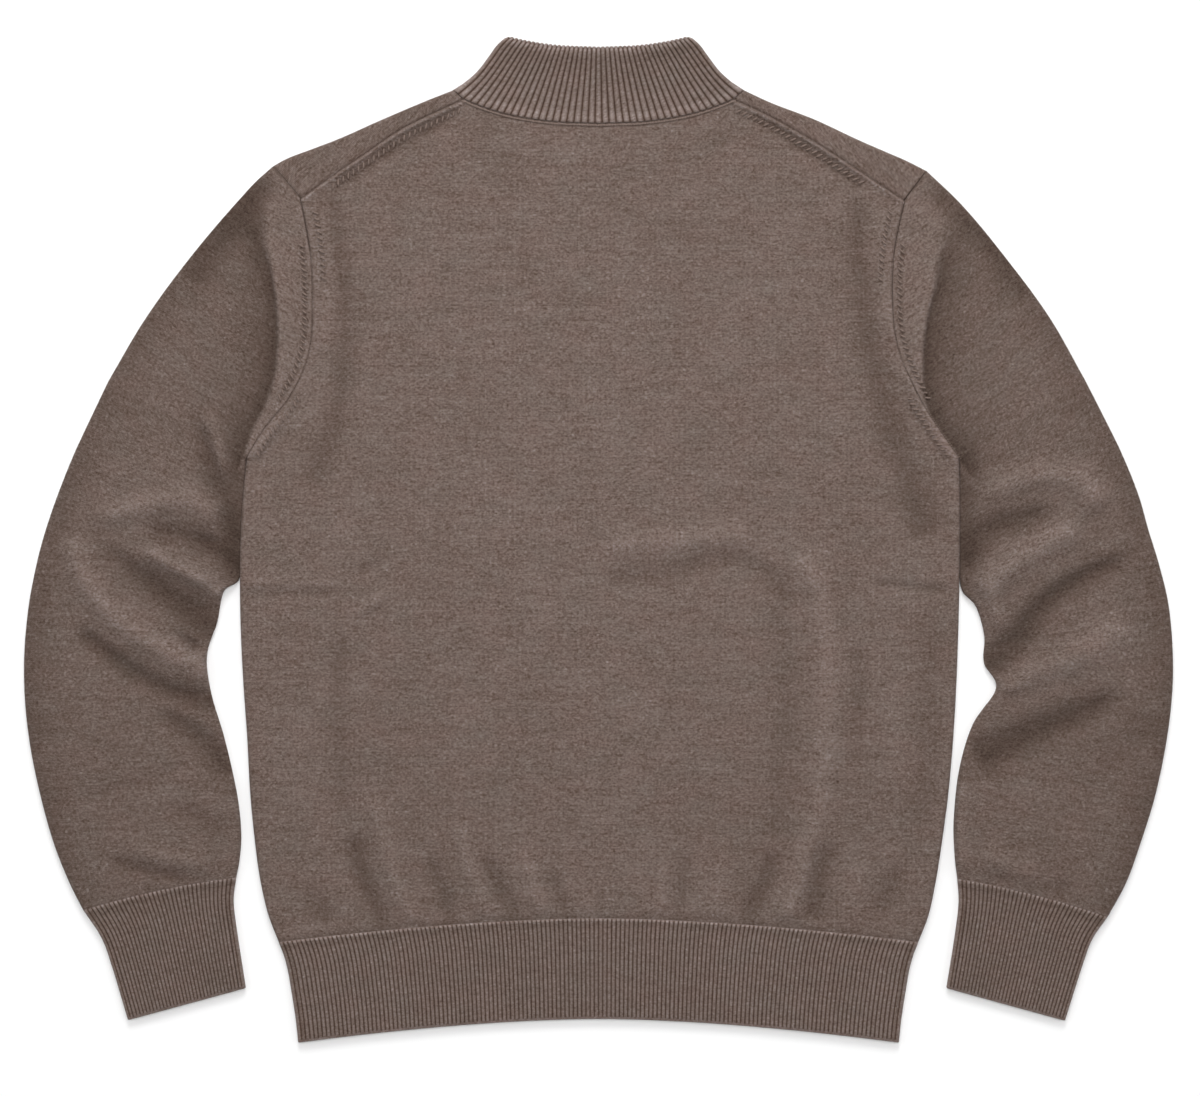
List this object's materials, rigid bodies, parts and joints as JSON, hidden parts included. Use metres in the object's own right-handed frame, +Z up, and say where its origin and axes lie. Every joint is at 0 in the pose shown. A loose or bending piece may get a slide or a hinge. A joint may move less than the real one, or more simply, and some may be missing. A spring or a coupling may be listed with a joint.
{
  "type": "mock neck sweater",
  "caption": "Fine-knit mock neck sweater laid flat with its back up: long set-in sleeves, and ribbed collar, cuffs and hem.",
  "frame": {"origin": "middle of the laid-out garment's bounding box, on the surface that it lies on", "axes": "+X across the shoulders to the wearer's right, +Y from the hem to the neck, +Z up out of the back"},
  "size_m": [0.8424, 0.737, 0.0136],
  "materials": {
    "jersey": "matte brown melange fine knit",
    "rib": "matte brown melange ribbed knit"
  },
  "bodies": {
    "root": {"back": "jersey", "front": "jersey", "sleeve_left": "jersey", "sleeve_right": "jersey", "cuff_left": "rib", "cuff_right": "rib", "hem_rib_back": "rib", "hem_rib_front": "rib", "collar": "rib"}
  },
  "joints": []
}
